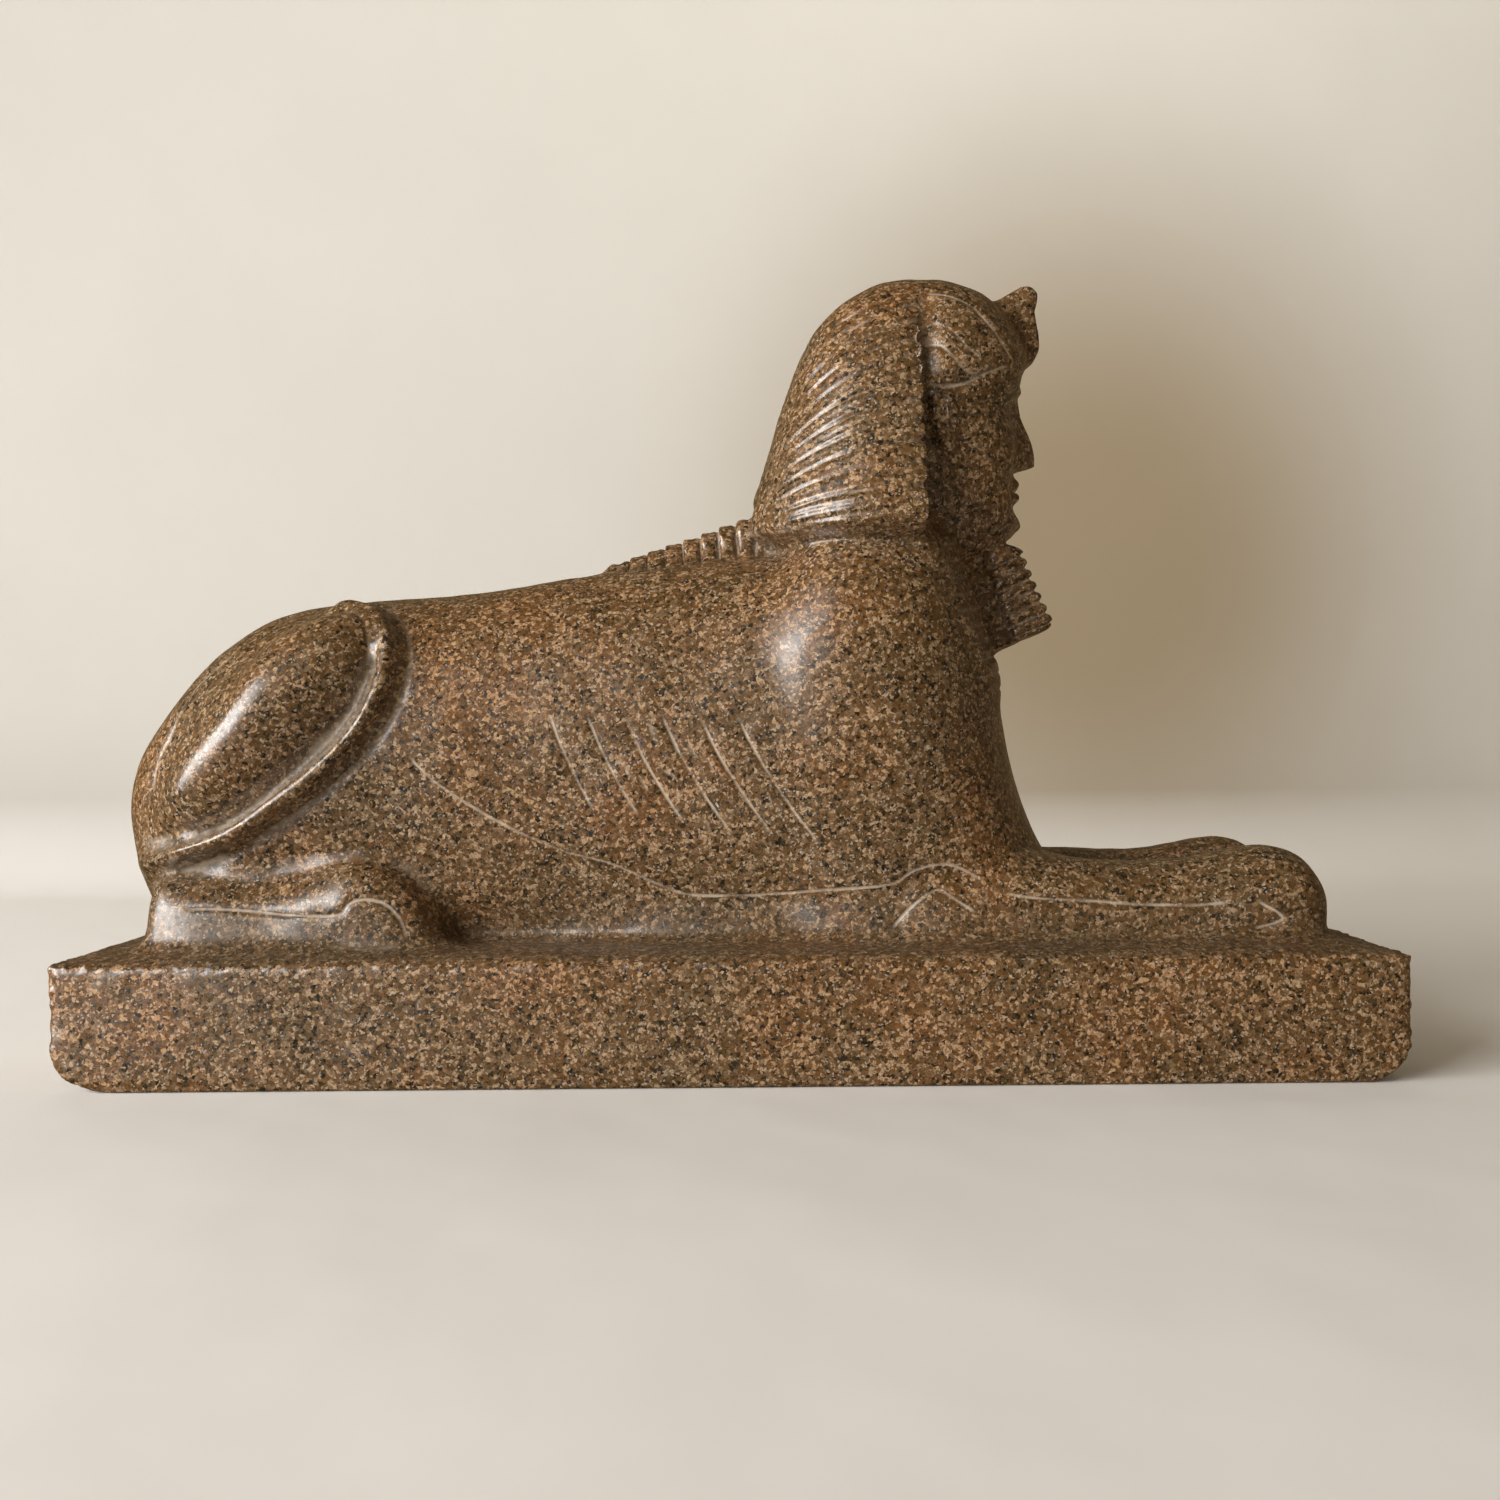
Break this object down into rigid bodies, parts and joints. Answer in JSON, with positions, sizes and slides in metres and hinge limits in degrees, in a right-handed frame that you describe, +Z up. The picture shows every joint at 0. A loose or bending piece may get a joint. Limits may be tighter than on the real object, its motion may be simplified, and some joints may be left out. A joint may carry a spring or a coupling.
{
  "type": "sphinx statue",
  "caption": "Reclining sphinx on a plinth, carved in polished granite, with a pleated headcloth, a ribbed beard and the tail laid round its right haunch.",
  "frame": {"origin": "centre of the plinth's underside", "axes": "+X the way the sphinx faces, +Y its left side, +Z up"},
  "size_m": [0.61, 0.19, 0.3874],
  "materials": {
    "granite": "satin"
  },
  "bodies": {
    "root": {"sphinx": "granite"}
  },
  "joints": []
}
